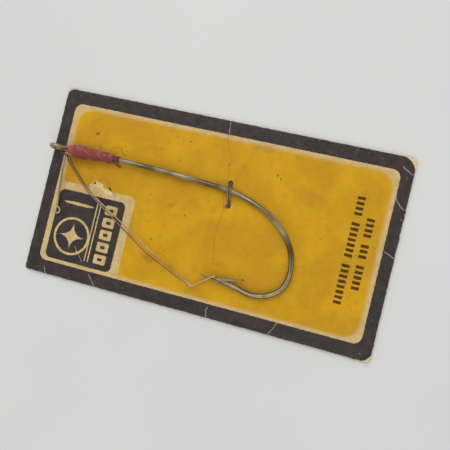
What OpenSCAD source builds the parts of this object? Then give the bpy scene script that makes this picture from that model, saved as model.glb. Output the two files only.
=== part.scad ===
// Weedless worm hook wired to its retail backing card. The card lies flat, printed face up.
// The origin is the centre of the card's back face. Lengths are in millimetres, angles in degrees.

/* [Card] */
// Length of the card
card_l = 92; // [92:0.5:96]
// Width of the card
card_w = 50.2; // [48:0.1:54]
// Thickness of the grey board, without the printed paper
board_t = 0.68; // [0.64:0.02:1.0]
// Thickness of the printed paper on the front of the board
paper_t = 0.12; // [0.08:0.02:0.2]
// Radius of the worn corners of the card
corner_r = 0.9; // [0.4:0.1:3]
// Depth that the tie wire is pressed into the back of the board
groove_depth = 0.5; // [0.49:0.01:0.54]

/* [Hook] */
// Diameter of the hook wire
wire_d = 1.35; // [1.2:0.05:1.35]
// Diameter of the wire where it is rolled into the eye
eye_wire_d = 1.2; // [1.0:0.05:1.3]
// Outer diameter of the line eye
eye_od = 4.0; // [3.8:0.1:4.1]
// Thickness of the barb, across the hook
barb_t = 0.7; // [0.5:0.05:0.8]

/* [Weed guard] */
// Diameter of the guard's spring wire
guard_d = 0.34; // [0.28:0.01:0.35]
// Distance from the middle of the hook wire to the middle of each strand
strand_offset = 0.875; // [0.875:0.005:0.9]
// Distance that each strand bows sideways on its way to the kink
strand_bow = 0.42; // [0.2:0.01:0.5]

/* [Bait keeper] */
// Diameter of the keeper wire
keeper_d = 0.5; // [0.4:0.02:0.52]
// Angle that the keeper slopes down towards the card
keeper_slope = 7; // [5:0.5:7.5]

/* [Thread] */
// Largest radius of the whipping, over both spring wires
whip_r = 1.76; // [1.5:0.02:1.8]
// Distance from the middle of the eye to the near end of the whipping
whip_start = 3.0; // [2.9:0.05:3.2]
// Distance from the middle of the eye to the far end of the whipping
whip_end = 15.9; // [15:0.1:16.5]
// Length of the darker finishing turns
finish_l = 1.75; // [1.2:0.05:2]

/* [Tie wire] */
// Diameter of the tie wire
tie_d = 0.44; // [0.36:0.02:0.44]
// Diameter of each hole that the tie wire passes through
tie_hole_d = 1.1; // [1.1:0.05:1.3]

/* [Hidden] */
$fn = 48;
slack = 0.02;
rest_gap = 0.05;
card_t = board_t + paper_t;

// A frame that walks along a wire holds its place, its heading, the axis that it bends about, and
// a vector across the wire that only bends carry along, so that a swept tube never twists
walk_start = [[0, 0, 0], [1, 0, 0], [0, 0, 1], [0, 1, 0]];
chord_error = 0.02;
widest_step = 15;

// Where the middle of the eye is on the card, and how the hook leans: the eye stands on the card,
// so the shank slopes down to the bend and the point side is a little higher than the shank side
eye_pos = [-43.9, 8.55, card_t + eye_od / 2 + rest_gap];
hook_lean = [-1.1, 1.35, 0.7];

// The eye: a ring across the hook, closed against the neck, which joins the shank at neck_x
eye_r = (eye_od - eye_wire_d) / 2;
eye_plane = -95;
eye_open = 48;
neck_x = 2.5;
neck_r = (neck_x * neck_x - eye_r * eye_r) / (2 * eye_r);
neck_turn = atan2(neck_x, neck_r);
shank_l = 12;
needle_bend = [10, -3];
needle_l = 3.6;

// The hook's line from the eye to the point. [length] is straight. [radius, angle, roll] is a bend
// to the right, and its plane first rolls about the wire
hook_legs = [[eye_r, eye_open - neck_turn - 270], [neck_r, neck_turn],
             [shank_l - neck_x], [386, 4.9, -eye_plane], [34, 21], [19.4, 28.8], [12.1, 48.4],
             [5.1, 33.7], [8.7, 59.5], [30, -9.5], [2.6], needle_bend, [needle_l]];
hook_d = concat([eye_wire_d - 0.1, eye_wire_d, wire_d - 0.05], [for (i = [1:8]) wire_d],
                [0.76 * wire_d, 0.71 * wire_d, 0.12]);
barb_outline = [[-2.2, -0.1], [-10.6, -1.85], [-10.5, -1.7], [-7.0, -0.5], [-4.0, 0]];

// The guard leaves the whipping at the eye end, turns back under the shank and runs to the point
lashed_l = 3;
guard_root_legs = [[lashed_l + 0.4], [0.75, -180], [0.2], [1.1, 60]];
guard_start = [whip_start + lashed_l, 0, 0];
guard_hinge = guard_start + spin(end_frame(guard_root_legs)[0], [0, 0, 1], 180);
guard_sides = [9.04, 23.42, 13.77];
guard_turns = [15.5, 13.5, 6.5, 62];
guard_bend_r = [8, 30, 40, 0.5];
guard_tip_legs = [[5.1], [3, 14], [0.4]];
guard_end_r = 0.4;
guard_gap = 0.08;

// The keeper leaves the whipping beside the shank and slopes down towards the card
keeper_lashed_l = 5;
keeper_root_legs = [[keeper_lashed_l], [0.45, -90], [0.45]];
keeper_start = [whip_start + keeper_lashed_l, -0.975, 0];
keeper_hinge = keeper_start + spin(end_frame(keeper_root_legs)[0], [0, 0, 1], 180);
keeper_legs = [[13], [0.6, -62], [0.3], [0.8, 155], [0.5]];
keeper_gap = 0.1;

// Distance along the whipping and radius, where the thread changes its slope
whip_l = whip_end - whip_start;
whip_profile = [[0, 0.9], [1.1, 1.3], [1.9, 0.94 * whip_r], [3.2, whip_r], [4.6, 0.96 * whip_r],
                [6, 1.44], [9, 1.38], [12.2, 1.33], [whip_l, 1.1]];
finish_r = 0.92;
thread_bore_r = wire_d / 2 + 0.055;

// The tie wire: its two holes, and the shank between them as distance from the low hole and height
tie_low = [4.0, 3.75];
tie_high = [3.2, 9.4];
tie_span = norm(tie_high - tie_low);
tie_heading = atan2(tie_high[1] - tie_low[1], tie_high[0] - tie_low[0]);
tie_shank = [3.7, 1.78];
tie_wrap_r = (wire_d + tie_d) / 2 + 0.03;
tie_side = tie_d / 2 + 0.01;
tie_bend_r = 0.4;
tie_turn_r = 0.3;
groove_w = tie_hole_d - 0.1;
tie_back_z = groove_depth - tie_d / 2 - 0.03;
tie_low_run = 1.9;
tie_high_run = 1.4;
tie_rise = 27;
tie_fall = 48;
tie_far = tie_span - tie_shank[0];

// The torn spot where the printed paper has lifted off the board
scuff_pos = [-30.0, 0.75];
scuff_outline = [[-2.7, -0.1], [-2.1, 0.9], [-0.6, 0.6], [0.9, 1.0], [2.5, 0.3], [2.9, -0.6],
                 [1.2, -1.0], [-0.8, -0.6], [-1.9, -0.8]];

// v turned about the unit axis k by an angle, by the right-hand rule
function spin(v, k, angle) =
    v * cos(angle) + cross(k, v) * sin(angle) + k * (k * v) * (1 - cos(angle));

// The legs of one strand of the guard's arm. Its line is a run of straight sides with the corners
// rounded off, and the third corner moves sideways, one way for each strand
function strand_legs(way) =
    let (corner = [guard_sides[1], 0]
                  + way * strand_bow * [-sin(guard_turns[2] / 2), cos(guard_turns[2] / 2)],
         kink = [guard_sides[1], 0] + guard_sides[2] * [cos(guard_turns[2]), sin(guard_turns[2])],
         near = atan2(corner[1], corner[0]),
         far = atan2(kink[1] - corner[1], kink[0] - corner[0]),
         sides = [guard_sides[0], norm(corner), norm(kink - corner)],
         turns = [guard_turns[0], guard_turns[1] + near, far - near,
                  guard_turns[3] + guard_turns[2] - far],
         trims = [for (i = [0:3]) guard_bend_r[i] * tan(turns[i] / 2)])
    concat([[guard_bend_r[0], -turns[0]]],
           [for (i = [0:2]) each [[sides[i] - trims[i] - trims[i + 1]],
                                  [guard_bend_r[i + 1], -turns[i + 1]]]],
           guard_tip_legs);

// The frame after part of a leg
function walk(frame, leg, part = 1) =
    len(leg) == 1 ? [frame[0] + part * leg[0] * frame[1], frame[1], frame[2], frame[3]] :
    let (axis = spin(frame[2], frame[1], len(leg) == 3 ? leg[2] : 0),
         middle = frame[0] + sign(leg[1]) * leg[0] * cross(frame[1], axis),
         turn = -leg[1] * part)
    [middle + spin(frame[0] - middle, axis, turn), spin(frame[1], axis, turn), axis,
     spin(frame[3], axis, turn)];

// The frame at the end of a run of legs
function end_frame(legs, frame = walk_start, i = 0) =
    i == len(legs) ? frame : end_frame(legs, walk(frame, legs[i]), i + 1);

// How many rings of the tube a leg takes, so that its chords stay close to a bend
function leg_rings(leg) =
    len(leg) == 1 ? 1 :
    ceil(abs(leg[1]) / min(widest_step, 2 * acos(1 - min(1, chord_error / leg[0]))));

// Every frame after the first, with the wire's diameter there. d is one number, or a list with
// the diameter at the start and at the end of every leg
function wire_frames(frame, legs, d, i = 0) =
    i == len(legs) ? [] :
    let (n = leg_rings(legs[i]),
         from_d = is_list(d) ? d[i] : d,
         to_d = is_list(d) ? d[i + 1] : d)
    concat([for (k = [1:n]) [walk(frame, legs[i], k / n), from_d + (to_d - from_d) * k / n]],
           wire_frames(walk(frame, legs[i]), legs, d, i + 1));

// The same legs walked the other way, with a roll before the first bend
function back_along(legs, roll) =
    let (first = max([for (i = [0:len(legs) - 1]) if (len(legs[i]) > 1) i]))
    [for (i = [len(legs) - 1:-1:0])
        len(legs[i]) == 1 ? legs[i] :
        i == first ? [legs[i][0], -legs[i][1], roll] : [legs[i][0], -legs[i][1]]];

// Height where an upright leg of the tie wire starts to bend, so that its slope, at an angle above
// level, touches the arch over a shank at that distance
function tie_leg_top(distance, angle) =
    tie_shank[1] - tie_bend_r * cos(angle)
    + (tie_wrap_r - (distance - tie_bend_r * (1 - sin(angle))) * sin(angle)) / cos(angle);

// Length of that slope
function tie_slope(distance, angle) =
    (distance - tie_bend_r * (1 - sin(angle))) * cos(angle)
    + (tie_shank[1] - tie_leg_top(distance, angle) - tie_bend_r * cos(angle)) * sin(angle);

// Length of the upright leg below it
function tie_leg(distance, angle) = tie_leg_top(distance, angle) - tie_back_z - tie_turn_r;

// A bent wire as one closed tube, which starts at the origin along +X and bends about +Z
module bent_wire(legs, d, sides = 12) {
    frames = concat([[walk_start, is_list(d) ? d[0] : d]], wire_frames(walk_start, legs, d));
    last = (len(frames) - 1) * sides;
    points = [for (f = frames, j = [0:sides - 1])
        f[0][0] + f[1] / 2 * spin(f[0][3], f[0][1], 360 * j / sides)];
    walls = [for (i = [0:len(frames) - 2], j = [0:sides - 1])
        let (a = i * sides + j, b = i * sides + (j + 1) % sides)
        each [[a, a + sides, b], [b, a + sides, b + sides]]];
    near_end = [for (j = [0:sides - 1]) j];
    far_end = [for (j = [sides - 1:-1:0]) last + j];
    polyhedron(points, concat(walls, [near_end, far_end]));
}

// Moves a child to a frame, with X along its heading
module at_frame(frame) {
    across = cross(frame[2], frame[1]);
    multmatrix([for (k = [0:2]) [frame[1][k], across[k], frame[2][k], frame[0][k]]]) children();
}

// Moves a child from the hook's own frame, X along the shank from the eye, onto the card
module on_hook() {
    translate(eye_pos) rotate(hook_lean) children();
}

// A flat plate with round corners, its middle at the origin and its underside at z 0
module rounded_plate(length, width, thickness, r) {
    union() {
        translate([-length / 2, -width / 2 + r, 0]) cube([length, width - 2 * r, thickness]);
        translate([-length / 2 + r, -width / 2, 0]) cube([length - 2 * r, width, thickness]);
        for (x = [-1, 1], y = [-1, 1])
            translate([x * (length / 2 - r), y * (width / 2 - r), 0])
                cylinder(r = r, h = thickness);
    }
}

// The two holes for the tie wire, right through the card
module tie_holes() {
    for (hole = [tie_low, tie_high])
        translate([hole[0], hole[1], -1]) cylinder(d = tie_hole_d, h = card_t + 2);
}

// Grey board, with the holes and the groove that the tie wire has pressed into its back
module card_board() {
    color("#8c8272") difference() {
        rounded_plate(card_l, card_w, board_t, corner_r);
        tie_holes();
        translate([tie_low[0], tie_low[1], -1]) rotate([0, 0, tie_heading])
            translate([0, -groove_w / 2, 0]) cube([tie_span, groove_w, groove_depth + 1]);
    }
}

// Printed paper, torn away at the scuff
module card_paper() {
    color("#c49420") translate([0, 0, board_t]) difference() {
        rounded_plate(card_l, card_w, paper_t, corner_r);
        tie_holes();
        translate([scuff_pos[0], scuff_pos[1], -1]) linear_extrude(paper_t + 2)
            polygon(scuff_outline);
    }
}

// Hook: ring eye, shank, round bend, needle point and cut barb, all one piece of wire
module hook() {
    color("#7b7460") on_hook() rotate([eye_plane, 0, 0])
        translate([eye_r * cos(eye_open), eye_r * sin(eye_open), 0])
            rotate([0, 0, eye_open + 90]) {
                bent_wire(hook_legs, hook_d, sides = 16);
                at_frame(end_frame(hook_legs)) translate([0, 0, -barb_t / 2])
                    linear_extrude(barb_t) polygon(barb_outline);
            }
}

// The lashed legs of the guard and the springy bends behind the eye, one strand above the hook
// wire and one below it
module guard_root() {
    color("#8a8068") on_hook()
        for (side = [-1, 1])
            translate(guard_start + [0, 0, side * strand_offset]) rotate([0, 0, 180])
                bent_wire(guard_root_legs, guard_d);
}

// The free arm of the guard: out along the upper strand, round the inside of the point, and back
// along the lower strand
module guard_arm() {
    heading = end_frame(guard_root_legs)[1];
    across = [[guard_end_r, 90, 90], [2 * (strand_offset - guard_end_r)], [guard_end_r, 90]];
    color("#9a8f74") on_hook() translate(guard_hinge)
        rotate([0, 0, 180 + atan2(heading[1], heading[0])])
            translate([guard_gap, 0, strand_offset])
                bent_wire(concat(strand_legs(-1), across, back_along(strand_legs(1), 90)), guard_d);
}

// The lashed leg of the keeper and the bend out of the whipping
module keeper_root() {
    color("#b9b3a4") on_hook() translate(keeper_start) rotate([0, 0, 180])
        bent_wire(keeper_root_legs, keeper_d);
}

// The free arm of the keeper, with its end curled into a small hook
module keeper_arm() {
    color("#b9b3a4") on_hook() translate(keeper_hinge) rotate([keeper_slope, 0, 0])
        rotate([0, 0, -88.5]) translate([keeper_gap, 0, 0]) bent_wire(keeper_legs, keeper_d);
}

// The space inside the thread for the shank and for the lashed legs of both wires
module lashed_wires() {
    rotate([0, 90, 0]) cylinder(r = thread_bore_r, h = 3 * whip_end);
    for (side = [-1, 1])
        translate([0, 0, side * strand_offset]) rotate([0, 90, 0])
            cylinder(d = guard_d + 2 * slack, h = guard_start[0] + slack);
    translate([0, keeper_start[1], 0]) rotate([0, 90, 0])
        cylinder(d = keeper_d + 2 * slack, h = keeper_start[0] + slack);
}

// Close turns of red thread over the shank and the lashed legs
module thread_whipping() {
    color("#a8484a") on_hook() difference() {
        translate([whip_start, 0, 0]) rotate([0, 90, 0]) rotate_extrude()
            polygon([[0, 0], for (p = whip_profile) [p[1], p[0]], [0, whip_l]]);
        lashed_wires();
    }
}

// Darker finishing turns at the far end of the whipping
module thread_finish() {
    color("#6e2a2c") on_hook() difference() {
        translate([whip_end + slack, 0, 0]) rotate([0, 90, 0])
            cylinder(r = finish_r, h = finish_l);
        lashed_wires();
    }
}

// Tie wire: a hairpin whose closed end lies in the groove. Each strand comes up through one hole,
// over the shank and down through the other. A loose cut end lies on the front
module tie_wire() {
    fall = [[tie_leg(tie_far, tie_fall)], [tie_bend_r, 90 - tie_fall],
            [tie_slope(tie_far, tie_fall)]];
    rise = [[tie_leg(tie_shank[0], tie_rise)], [tie_bend_r, 90 - tie_rise],
            [tie_slope(tie_shank[0], tie_rise)]];
    arch = [[tie_wrap_r, tie_rise + tie_fall]];
    back = [[tie_turn_r, 90], [tie_low_run], [tie_side, 180, 90], [tie_low_run],
            [tie_turn_r, 90, -90]];
    color("#6d7480") translate([tie_low[0], tie_low[1], 0]) rotate([0, 0, tie_heading]) {
        translate([tie_span - tie_turn_r - tie_high_run, tie_side, tie_back_z])
            bent_wire(concat([[tie_high_run], [tie_turn_r, 90, -90]], fall, arch,
                             [for (i = [2:-1:0]) rise[i]], back, rise, arch,
                             [for (i = [2:-1:0]) fall[i]], [[tie_turn_r, 90], [tie_high_run]]),
                      tie_d, sides = 8);
        translate([-0.3, 0.1, tie_back_z]) rotate([0, -90, 0])
            bent_wire([[card_t - tie_back_z + rest_gap], [tie_d / 2 + 0.02, -90], [1.3]], tie_d,
                      sides = 8);
    }
}

card_board();
card_paper();
hook();
guard_root();
guard_arm();
keeper_root();
keeper_arm();
thread_whipping();
thread_finish();
tie_wire();
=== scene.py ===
import math

import bmesh
import bpy
from mathutils import Euler, Matrix, Vector, noise


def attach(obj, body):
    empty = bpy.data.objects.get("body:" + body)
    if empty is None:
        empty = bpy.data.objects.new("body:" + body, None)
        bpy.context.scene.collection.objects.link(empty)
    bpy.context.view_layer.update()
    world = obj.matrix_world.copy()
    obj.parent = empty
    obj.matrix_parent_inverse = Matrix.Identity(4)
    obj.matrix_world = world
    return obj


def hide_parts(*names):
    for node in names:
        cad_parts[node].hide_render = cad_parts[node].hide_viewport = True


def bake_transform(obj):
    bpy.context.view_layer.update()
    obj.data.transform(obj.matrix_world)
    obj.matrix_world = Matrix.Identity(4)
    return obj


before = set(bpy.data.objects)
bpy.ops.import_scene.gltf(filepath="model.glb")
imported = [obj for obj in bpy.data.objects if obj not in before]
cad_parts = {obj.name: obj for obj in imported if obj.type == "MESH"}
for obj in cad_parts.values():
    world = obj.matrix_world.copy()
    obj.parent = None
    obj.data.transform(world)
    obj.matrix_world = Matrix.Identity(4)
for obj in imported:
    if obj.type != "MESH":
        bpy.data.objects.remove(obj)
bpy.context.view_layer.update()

# Lengths here are in millimetres, in the part's own frame: every mesh is scaled to metres as it is made
MM = 0.001

# ---------------------------------------------------------------- sizes, as in the CAD source
CARD_L, CARD_W, BOARD_T, PAPER_T, CORNER_R = 92.0, 50.2, 0.68, 0.12, 0.9
CARD_T = BOARD_T + PAPER_T
EYE_POS = Vector((-43.9, 8.55, CARD_T + 2.05))
HOOK_LEAN = Euler([math.radians(a) for a in (-1.1, 1.35, 0.7)], "XYZ")
WIRE_D, EYE_WIRE_D, EYE_R = 1.35, 1.2, 1.4
NECK_X = 2.5
NECK_R = (NECK_X ** 2 - EYE_R ** 2) / (2 * EYE_R)
NECK_TURN = math.degrees(math.atan2(NECK_X, NECK_R))
EYE_PLANE, EYE_OPEN = -95, 48
SHANK_L, NEEDLE_BEND, NEEDLE_L = 12, (10, -3), 3.6
HOOK_LEGS = [(EYE_R, EYE_OPEN - NECK_TURN - 270), (NECK_R, NECK_TURN), (SHANK_L - NECK_X,),
             (386, 4.9, -EYE_PLANE), (34, 21), (19.4, 28.8), (12.1, 48.4), (5.1, 33.7),
             (8.7, 59.5), (30, -9.5), (2.6,), NEEDLE_BEND, (NEEDLE_L,)]
HOOK_D = [EYE_WIRE_D - 0.1, EYE_WIRE_D, WIRE_D - 0.05] + [WIRE_D] * 8 + [1.03, 0.96, 0.1]
GUARD_D, STRAND = 0.34, 0.875
ROOT_LEGS = [(3.4,), (0.75, -180), (0.2,), (1.1, 60)]
GUARD_SIDES, GUARD_TURNS = (9.04, 23.42, 13.77), (15.5, 13.5, 6.5, 62)
GUARD_BEND_R, GUARD_TIP, STRAND_BOW = (8, 30, 40, 0.5), [(5.1,), (3, 14), (0.4,)], 0.42
KEEPER_D = 0.5
KEEPER_HINGE = Vector((2.55, -1.875, 0))
WHIP = [(3.0, 0.84), (4.1, 1.2), (5.0, 1.62), (6.2, 1.76), (7.6, 1.69), (9.0, 1.46), (12.0, 1.36),
        (15.1, 1.28), (15.9, 1.08)]
FINISH = [(15.92, 0.86), (16.2, 0.92), (17.3, 0.92), (17.67, 0.82)]
TIE_LOW, TIE_HIGH = Vector((4.0, 3.75, 0)), Vector((3.2, 9.4, 0))
TIE_D, TIE_HOLE_R, GROOVE_DEPTH = 0.44, 0.55, 0.5
# Spots torn through the paper: centre, half sizes and turn
TEARS = [((-32.25, 1.6), 0.4, 0.2, 50), ((-27.75, 0.95), 0.5, 0.22, -42)]
HOOK_SPACE = Matrix.Translation(EYE_POS) @ HOOK_LEAN.to_matrix().to_4x4()


def on_hook(v):
    """A point of the hook's own frame, X along the shank from the eye, on the card."""
    return HOOK_SPACE @ Vector(v)


# ---------------------------------------------------------------- camera
camera = bpy.data.objects.new("camera", bpy.data.cameras.new("camera"))
bpy.context.scene.collection.objects.link(camera)
camera.data.sensor_width, camera.data.lens = 36, 36
camera.data.clip_start, camera.data.clip_end = 0.005, 5
back = -Vector((-0.15723, 0.01045, -0.98751)).normalized()
right = Vector((-0.23194, 0.97158, 0.04722)).cross(back).normalized()
camera.matrix_world = Matrix.Translation((0.022156, -0.002327, 0.112809)) @ Matrix(
    (right, back.cross(right), back)).transposed().to_4x4()
bpy.context.scene.camera = camera


# ---------------------------------------------------------------- shader helpers
class Shader:
    """A Principled material whose nodes are built with short calls. Its lengths are millimetres."""

    def __init__(self, name, **surface):
        self.material = bpy.data.materials.new(name)
        self.material.use_nodes = True
        self.tree = self.material.node_tree
        self.surface = self.tree.nodes["Principled BSDF"]
        for key, value in surface.items():
            self.put(self.surface.inputs[key.replace("_", " ")], value)
        place = self.add("TexCoord").outputs["Object"]
        self.at = self.add("VectorMath", operation="SCALE", links={0: place, "Scale": 1000.0})
        self.at = self.at.outputs[0]
        split = self.add("SeparateXYZ", links={0: self.at})
        self.x, self.y, self.z = split.outputs

    def put(self, socket, value):
        if isinstance(value, bpy.types.NodeSocket):
            self.tree.links.new(value, socket)
        else:
            socket.default_value = value

    def add(self, kind, links=None, **settings):
        node = self.tree.nodes.new("ShaderNode" + kind)
        for key, value in settings.items():
            setattr(node, key, value)
        for key, value in (links or {}).items():
            self.put(node.inputs[key], value)
        return node

    def math(self, operation, a, b=0.0, c=0.0):
        node = self.add("Math", {0: a, 1: b, 2: c}, operation=operation)
        return node.outputs[0]

    def times(self, a, b):
        return self.math("MULTIPLY", a, b)

    def plus(self, a, b):
        return self.math("ADD", a, b)

    def less(self, a, b):
        return self.math("SUBTRACT", a, b)

    def sway(self, value, amount):
        """A noise value as a shift to either side."""
        return self.times(self.less(value, 0.5), amount)

    def noise(self, scale, detail=3.0, roughness=0.55, at=None):
        node = self.add("TexNoise", {"Vector": at or self.at, "Scale": scale, "Detail": detail,
                                     "Roughness": roughness})
        return node.outputs[0]

    def stretched(self, sx, sy, sz, at=None):
        node = self.add("VectorMath", {0: at or self.at, 1: (sx, sy, sz)}, operation="MULTIPLY")
        return node.outputs[0]

    def step(self, value, low, high):
        """0 below low, 1 above high, smooth between; the other way round if low is above high."""
        node = self.add("MapRange", {"Value": value, "From Min": min(low, high),
                                     "From Max": max(low, high),
                                     "To Min": 0.0 if low < high else 1.0,
                                     "To Max": 1.0 if low < high else 0.0},
                        interpolation_type="SMOOTHSTEP")
        return node.outputs[0]

    def filled(self, distance, soft=0.05):
        """1 inside a shape and 0 outside it, from the distance to its outline."""
        return self.step(distance, soft, -soft)

    def mix(self, share, a, b):
        node = self.add("Mix", data_type="RGBA")
        self.put(node.inputs[0], share)
        self.put(node.inputs[6], a)
        self.put(node.inputs[7], b)
        return node.outputs[2]

    def box(self, x, y, low, high, r):
        """Distance outside a rectangle with rounded corners, less than 0 inside it."""
        centre = [(a + b) / 2 for a, b in zip(low, high)]
        half = [(b - a) / 2 - r for a, b in zip(low, high)]
        d = [self.less(self.math("ABSOLUTE", self.less(v, c)), h)
             for v, c, h in zip((x, y), centre, half)]
        far = [self.math("MAXIMUM", v, 0.0) for v in d]
        outside = self.math("SQRT", self.plus(self.times(far[0], far[0]),
                                              self.times(far[1], far[1])))
        inside = self.math("MINIMUM", self.math("MAXIMUM", d[0], d[1]), 0.0)
        return self.less(self.plus(outside, inside), r)

    def spot(self, x, y, centre, rx, ry=None, angle=0.0):
        """Distance from the middle of an ellipse: 1 on its outline."""
        c, s = math.cos(math.radians(angle)), math.sin(math.radians(angle))
        u = self.less(x, centre[0])
        v = self.less(y, centre[1])
        along = self.plus(self.times(u, c / rx), self.times(v, s / rx))
        ry = ry or rx
        across = self.less(self.times(v, c / ry),
                           self.times(u, s / ry))
        return self.math("SQRT", self.plus(self.times(along, along),
                                           self.times(across, across)))

    def line(self, x, y, a, b):
        """Distance from the straight line between two points."""
        a, b = Vector(a), Vector(b)
        d = b - a
        u, v = self.less(x, a.x), self.less(y, a.y)
        t = self.plus(self.times(u, d.x / d.length_squared),
                      self.times(v, d.y / d.length_squared))
        t = self.add("Clamp", {0: t}).outputs[0]
        u = self.less(u, self.times(t, d.x))
        v = self.less(v, self.times(t, d.y))
        return self.math("SQRT", self.plus(self.times(u, u),
                                           self.times(v, v)))

    def either(self, *masks):
        total = masks[0]
        for mask in masks[1:]:
            total = self.math("MAXIMUM", total, mask)
        return total

    def bump(self, height, strength, distance):
        node = self.add("Bump", {"Strength": strength, "Distance": distance * MM,
                                 "Height": height})
        self.put(self.surface.inputs["Normal"], node.outputs[0])

    def colour(self, value):
        self.put(self.surface.inputs["Base Color"], value)

    def rough(self, value):
        self.put(self.surface.inputs["Roughness"], value)


def rgb(r, g, b):
    """A display colour, 0 to 255, as the linear colour that the shader takes."""
    def linear(v):
        v /= 255
        return v / 12.92 if v <= 0.04045 else ((v + 0.055) / 1.055) ** 2.4
    return (linear(r), linear(g), linear(b), 1.0)


# ---------------------------------------------------------------- the printed face
CRACKS = [((-0.7, 25.1), (0.0, 21.6)), ((42.4, 15.9), (43.4, 14.0)), ((43.4, 14.0), (45.2, 12.3)),
          ((43.1, 1.6), (46, 0.4)), ((43.0, 22.4), (45.4, 20.9)), ((-27.9, -22.2), (-25.2, -25.1)),
          ((4.7, -22.2), (5.0, -25.1)), ((22.6, -21.6), (20.9, -25.1)),
          ((-40.5, -23.2), (-40.0, -25.1)), ((-33.6, -16.0), (-30.4, -19.5))]
CREASES = [((-0.45, 21.3), (1.75, 15.2)), ((1.75, 15.2), (2.97, 1.1)),
           ((3.2, 3.0), (2.4, -4.2)), ((2.4, -4.2), (3.8, -12.0))]
# Centre and radius
DOTS = [((-9.4, 17.6), 0.24), ((-15.4, 19.3), 0.2), ((-16.8, 2.1), 0.2), ((-15.9, -5.0), 0.16),
        ((-6.4, -1.2), 0.22), ((-13.8, -9.1), 0.24), ((1.6, 13.9), 0.2), ((-33.1, 11.3), 0.2),
        ((-11.1, 12.2), 0.2), ((14.3, 13.9), 0.26), ((15.2, 13.2), 0.3), ((11.8, -13.45), 0.3)]
# Centre, half sizes, angle, strength and colour
STAINS_AND_SHADOW = [((-34.75, 14.55), 0.66, 0.42, 40, 1.0, (146, 78, 6)),
          # Painted shadow along the lower side of the whipping, with a rusty tint near the guard root
          ((-34.2, 6.6), 5.5, 2.6, 2, 0.4, (176, 112, 38)),
          ((-33.5, 9.0), 5.5, 2.6, 2, 0.28, (186, 126, 56)),
          ((-10.8, 0.5), 2.3, 0.8, 34, 0.32, (150, 88, 34)),
          ((-12.6, -14.0), 2.6, 1.3, -15, 0.5, (160, 92, 30)),
          ((-38.9, 4.2), 1.6, 2.8, 12, 0.35, (190, 120, 20)),
          ((-39.6, 1.4), 0.7, 1.6, 0, 0.5, (196, 122, 24)),
          ((-29.6, 3.2), 1.6, 1.0, -30, 0.5, (176, 110, 40)),
          ((-1.3, -13.6), 2.0, 1.0, -20, 0.3, (176, 118, 30)),
          ((23.5, 9.5), 6.0, 3.4, -20, 0.22, (150, 112, 40)),
          ((9.5, 20.0), 4.5, 1.4, -6, 0.3, (150, 108, 66)),
          ((36.5, -17.2), 3.0, 1.6, 0, 0.3, (168, 120, 40))]
# Centre and half sizes of the bare fibre round the tears
BARE_SPOTS = [((-30.9, 1.1), 1.7, 0.75), ((-28.4, 0.0), 2.1, 0.7), ((-32.6, 0.4), 0.9, 0.8)]


def card_rim(s):
    return s.box(s.x, s.y, (-CARD_L / 2, -CARD_W / 2), (CARD_L / 2, CARD_W / 2), CORNER_R)


def yellow_field(s, cream):
    """The yellow field, with its soft, blotchy edge, on the cream paper."""
    yellow = s.mix(s.step(s.broad, 0.36, 0.62), rgb(206, 156, 16), rgb(190, 142, 20))
    yellow = s.mix(s.times(s.step(s.mottle, 0.46, 0.74), 0.5), yellow, rgb(178, 130, 20))
    yellow = s.mix(s.times(s.step(s.fine, 0.56, 0.8), 0.4), yellow, rgb(218, 170, 48))
    dirt = s.times(s.step(s.noise(0.24, 6.0, 0.7), 0.54, 0.72), 0.34)
    yellow = s.mix(dirt, yellow, rgb(158, 116, 34))
    specks = s.times(s.step(s.noise(0.75, 2.0, 0.5), 0.72, 0.77), 0.6)
    yellow = s.mix(specks, yellow, rgb(150, 98, 30))
    edge = s.plus(s.box(s.ink_x, s.ink_y, (-41.1, -20.6), (41.75, 20.35), 4.0),
                  s.sway(s.mottle, 1.8))
    return s.mix(s.step(edge, 0.55, -0.55), cream, yellow)


def emblem(s, colour, cream, black):
    """A black block with a cream surround and a plain geometric device."""
    x, y = s.ink_x, s.ink_y
    surround = s.box(x, y, (-44, -24), (-20.2, 0.25), 1.3)
    block = s.box(x, y, (-41.2, -20.5), (-22.4, -1.75), 1.5)
    colour = s.mix(s.filled(surround, 0.06), colour, cream)
    colour = s.mix(s.filled(block, 0.06), colour, black)
    middle = (-35.1, -13.6)
    star = s.plus(*[s.math("SQRT", s.math("ABSOLUTE", s.less(v, m)))
                    for v, m in zip((x, y), middle)])
    ring = s.math("ABSOLUTE", s.less(s.spot(x, y, middle, 1.0), 4.75))
    device = s.either(s.step(star, 2.03, 1.96), s.step(ring, 0.36, 0.24))
    for at in (-30.0, -29.1):
        rule = s.box(x, y, (at - 0.16, -19.1), (at + 0.16, -3.1), 0.1)
        device = s.either(device, s.filled(rule))
    for k in range(5):
        low = -19.0 + 3.28 * k
        tile = s.box(x, y, (-27.6, low), (-24.3, low + 2.5), 0.35)
        hole = s.box(x, y, (-26.6, low + 0.85), (-25.3, low + 1.65), 0.2)
        tile = s.math("MAXIMUM", tile, s.times(hole, -1.0))
        device = s.either(device, s.filled(tile))
    ellipse = s.spot(x, y, (-35.1, -4.9), 4.3, 0.42)
    device = s.either(device, s.step(ellipse, 1.05, 0.9))
    return s.mix(device, colour, cream)


def tally_blocks(s, colour):
    """Two rows of plain blocks where small print would be, with gaps between their groups."""
    pitch, gap, half = 1.29, 1.38, 0.95
    groups = []
    for column, low, ends in ((35.3, -13.3, (0, 9, 17, 22)), (38.6, -9.0, (0, 6, 10, 15))):
        for first, last in zip(ends, ends[1:]):
            start, stop = low + first * pitch, low + (last - gap) * pitch
            group = s.filled(s.box(s.ink_x, s.ink_y, (column - half, start),
                                   (column + half, stop), 0.12))
            phase = s.math("FRACT", s.math("DIVIDE", s.less(s.ink_y, start), pitch))
            teeth = s.math("ABSOLUTE", s.less(phase, 0.3))
            groups.append(s.times(group, s.step(teeth, 0.33, 0.27)))
    return s.mix(s.times(s.either(*groups), 0.92), colour, rgb(54, 28, 16))


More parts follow.
